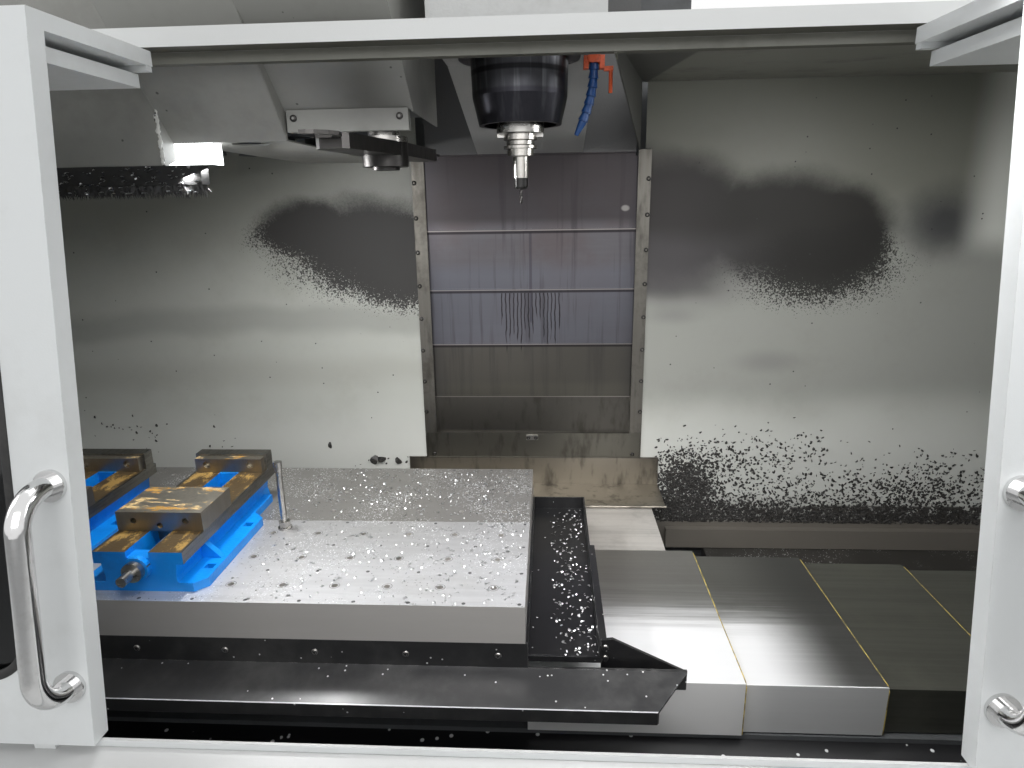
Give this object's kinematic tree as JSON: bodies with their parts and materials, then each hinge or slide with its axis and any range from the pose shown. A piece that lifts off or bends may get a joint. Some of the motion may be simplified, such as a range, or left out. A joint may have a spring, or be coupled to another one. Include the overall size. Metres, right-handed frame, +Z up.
{
  "type": "cnc machining center",
  "caption": "Vertical machining center with a saddle and table, telescopic way covers, spindle head, twin-arm tool changer, two vises and sliding front doors.",
  "frame": {"origin": "on the floor under the middle of the machine's bounding box", "axes": "+X to the operator's right, +Y to the back, +Z up; the front with the doors faces -Y; the table stands at the left end of its travel and the head at the top of its travel"},
  "size_m": [3.2, 2.64, 2.69],
  "materials": {
    "white_paint": "semi-gloss",
    "blue_paint": "semi-gloss, worn",
    "black_paint": "satin, scratched",
    "sheet_grey": "satin",
    "console_grey": "fine texture",
    "cast_grey": "painted casting",
    "dark_steel": "blackened",
    "ground_steel": "ground",
    "stainless": "brushed, smeared",
    "plate_steel": "ground plate with chips",
    "chrome": "polished",
    "window_glass": "tinted",
    "lamp_glass": "diffuser",
    "blue_plastic": "moulded",
    "orange_plastic": "moulded",
    "red_plastic": "moulded",
    "black_plastic": "moulded"
  },
  "bodies": {
    "machine_frame": {"base_casting": "cast_grey", "levelling_feet": "dark_steel", "column": "white_paint", "guide_rails": "ground_steel", "axis_motors": "black_paint", "chip_pans": "sheet_grey", "front_sill": "white_paint", "enclosure_sides": "white_paint", "back_walls": "white_paint", "roof_frame": "white_paint", "magazine_guard": "white_paint", "work_lamp": "lamp_glass", "cover_frame": "stainless", "changer_frame": "cast_grey", "electrical_cabinet": "white_paint"},
    "cabinet_door": {"cabinet_door": "white_paint"},
    "left_door": {"left_door": "white_paint", "left_window": "window_glass", "left_handle": "chrome"},
    "right_door": {"right_door": "white_paint", "right_window": "window_glass", "right_handle": "chrome"},
    "pendant": {"pendant": "console_grey"},
    "emergency_stop": {"emergency_stop": "red_plastic"},
    "jog_wheel": {"jog_wheel": "black_plastic"},
    "saddle": {"saddle": "cast_grey", "saddle_covers": "stainless"},
    "x_screw": {"x_screw": "ground_steel"},
    "y_screw": {"y_screw": "ground_steel"},
    "z_screw": {"z_screw": "ground_steel"},
    "x_covers_2": {"x_covers_2": "stainless"},
    "x_covers_3": {"x_covers_3": "stainless"},
    "x_covers_4": {"x_covers_4": "stainless"},
    "table": {"table": "cast_grey", "table_covers": "stainless", "tooling_plates": "plate_steel", "chip_tray": "black_paint", "front_apron": "black_paint", "clamp_stud": "dark_steel", "vise_bodies": "blue_paint", "vise_jaw_plates": "ground_steel"},
    "right_vise_jaw": {"right_vise_jaw": "ground_steel"},
    "left_vise_jaw": {"left_vise_jaw": "ground_steel"},
    "right_vise_screw": {"right_vise_screw": "ground_steel"},
    "left_vise_screw": {"left_vise_screw": "ground_steel"},
    "head": {"head_casting": "white_paint", "spindle_cartridge": "dark_steel", "spindle_motor": "black_paint", "coolant_hose": "blue_plastic", "coolant_valve": "orange_plastic", "z_cover_1": "stainless"},
    "spindle": {"spindle_rotor": "ground_steel", "tool_holder": "ground_steel", "drill": "dark_steel"},
    "z_cover_2": {"z_cover_2": "stainless"},
    "z_cover_3": {"z_cover_3": "stainless"},
    "z_cover_4": {"z_cover_4": "stainless"},
    "arm_shaft": {"arm_shaft": "ground_steel"},
    "tool_arm": {"tool_arm": "dark_steel"},
    "magazine_drum": {"magazine_drum": "cast_grey"}
  },
  "joints": [
    {"name": "y_axis", "type": "slide", "parent": "machine_frame", "child": "saddle", "axis": [0, 1, 0], "range_m": [-0.2, 0.24]},
    {"name": "x_axis", "type": "slide", "parent": "saddle", "child": "table", "axis": [1, 0, 0], "range_m": [0, 1.1]},
    {"name": "z_axis", "type": "slide", "parent": "machine_frame", "child": "head", "axis": [0, 0, -1], "range_m": [0, 0.6]},
    {"name": "spindle_turn", "type": "hinge", "parent": "head", "child": "spindle", "pos_m": [0, -0.6, 1.738], "axis": [0, 0, 1], "continuous": true},
    {"name": "x_cover_2_slide", "type": "slide", "parent": "saddle", "child": "x_covers_2", "axis": [1, 0, 0], "range_m": [0, 0.802]},
    {"name": "x_cover_3_slide", "type": "slide", "parent": "saddle", "child": "x_covers_3", "axis": [1, 0, 0], "range_m": [0, 0.537]},
    {"name": "x_cover_4_slide", "type": "slide", "parent": "saddle", "child": "x_covers_4", "axis": [1, 0, 0], "range_m": [0, 0.275]},
    {"name": "z_cover_2_slide", "type": "slide", "parent": "machine_frame", "child": "z_cover_2", "axis": [0, 0, -1], "range_m": [0, 0.433]},
    {"name": "z_cover_3_slide", "type": "slide", "parent": "machine_frame", "child": "z_cover_3", "axis": [0, 0, -1], "range_m": [0, 0.272]},
    {"name": "z_cover_4_slide", "type": "slide", "parent": "machine_frame", "child": "z_cover_4", "axis": [0, 0, -1], "range_m": [0, 0.11]},
    {"name": "x_screw_turn", "type": "hinge", "parent": "saddle", "child": "x_screw", "pos_m": [0, -0.6, 0.625], "axis": [1, 0, 0], "continuous": true},
    {"name": "y_screw_turn", "type": "hinge", "parent": "machine_frame", "child": "y_screw", "pos_m": [0, -0.5, 0.48], "axis": [0, 1, 0], "continuous": true},
    {"name": "z_screw_turn", "type": "hinge", "parent": "machine_frame", "child": "z_screw", "pos_m": [0, 0.12, 1.8], "axis": [0, 0, -1], "continuous": true},
    {"name": "right_vise_slide", "type": "slide", "parent": "table", "child": "right_vise_jaw", "axis": [0, 1, 0], "range_m": [-0.06, 0.165]},
    {"name": "right_vise_screw_turn", "type": "hinge", "parent": "table", "child": "right_vise_screw", "pos_m": [-0.705, -0.8, 0.976], "axis": [0, 1, 0], "continuous": true},
    {"name": "left_vise_slide", "type": "slide", "parent": "table", "child": "left_vise_jaw", "axis": [0, 1, 0], "range_m": [-0.06, 0.165]},
    {"name": "left_vise_screw_turn", "type": "hinge", "parent": "table", "child": "left_vise_screw", "pos_m": [-1.005, -0.8, 0.976], "axis": [0, 1, 0], "continuous": true},
    {"name": "left_door_slide", "type": "slide", "parent": "machine_frame", "child": "left_door", "axis": [1, 0, 0], "range_m": [0, 0.5715]},
    {"name": "right_door_slide", "type": "slide", "parent": "machine_frame", "child": "right_door", "axis": [1, 0, 0], "range_m": [-0.5715, 0]},
    {"name": "cabinet_door_hinge", "type": "hinge", "parent": "machine_frame", "child": "cabinet_door", "pos_m": [0.612, 1.278, 1.05], "axis": [0, 0, -1], "range_deg": [0, 110]},
    {"name": "pendant_swivel", "type": "hinge", "parent": "machine_frame", "child": "pendant", "pos_m": [1.56, -1.262, 1.4], "axis": [0, 0, 1], "range_deg": [0, 70]},
    {"name": "emergency_stop_press", "type": "slide", "parent": "pendant", "child": "emergency_stop", "axis": [0, 1, 0], "range_m": [0, 0.008], "stiffness_N_per_m": 1500},
    {"name": "jog_wheel_turn", "type": "hinge", "parent": "pendant", "child": "jog_wheel", "pos_m": [1.435, -1.3, 1.24], "axis": [0, 1, 0], "continuous": true},
    {"name": "arm_stroke", "type": "slide", "parent": "machine_frame", "child": "arm_shaft", "axis": [0, 0, -1], "range_m": [0, 0.115]},
    {"name": "arm_swing", "type": "hinge", "parent": "arm_shaft", "child": "tool_arm", "pos_m": [-0.26, -0.6, 1.715], "axis": [0, 0, 1], "range_deg": [-79, 0]},
    {"name": "magazine_spin", "type": "hinge", "parent": "machine_frame", "child": "magazine_drum", "pos_m": [-0.63795, -0.33507, 1.86], "axis": [0, 0, 1], "continuous": true}
  ],
  "couplings": [
    {"joint": "x_cover_2_slide", "follows": "x_axis", "ratio": 0.72909},
    {"joint": "x_cover_3_slide", "follows": "x_axis", "ratio": 0.48818},
    {"joint": "x_cover_4_slide", "follows": "x_axis", "ratio": 0.25},
    {"joint": "z_cover_2_slide", "follows": "z_axis", "ratio": 0.72167},
    {"joint": "z_cover_3_slide", "follows": "z_axis", "ratio": 0.45333},
    {"joint": "z_cover_4_slide", "follows": "z_axis", "ratio": 0.18333},
    {"joint": "x_screw_turn", "follows": "x_axis", "rad_per_m": 392.7},
    {"joint": "y_screw_turn", "follows": "y_axis", "rad_per_m": 392.7},
    {"joint": "z_screw_turn", "follows": "z_axis", "rad_per_m": 392.7},
    {"joint": "right_vise_screw_turn", "follows": "right_vise_slide", "rad_per_m": 1256.6},
    {"joint": "left_vise_screw_turn", "follows": "left_vise_slide", "rad_per_m": 1256.6}
  ]
}
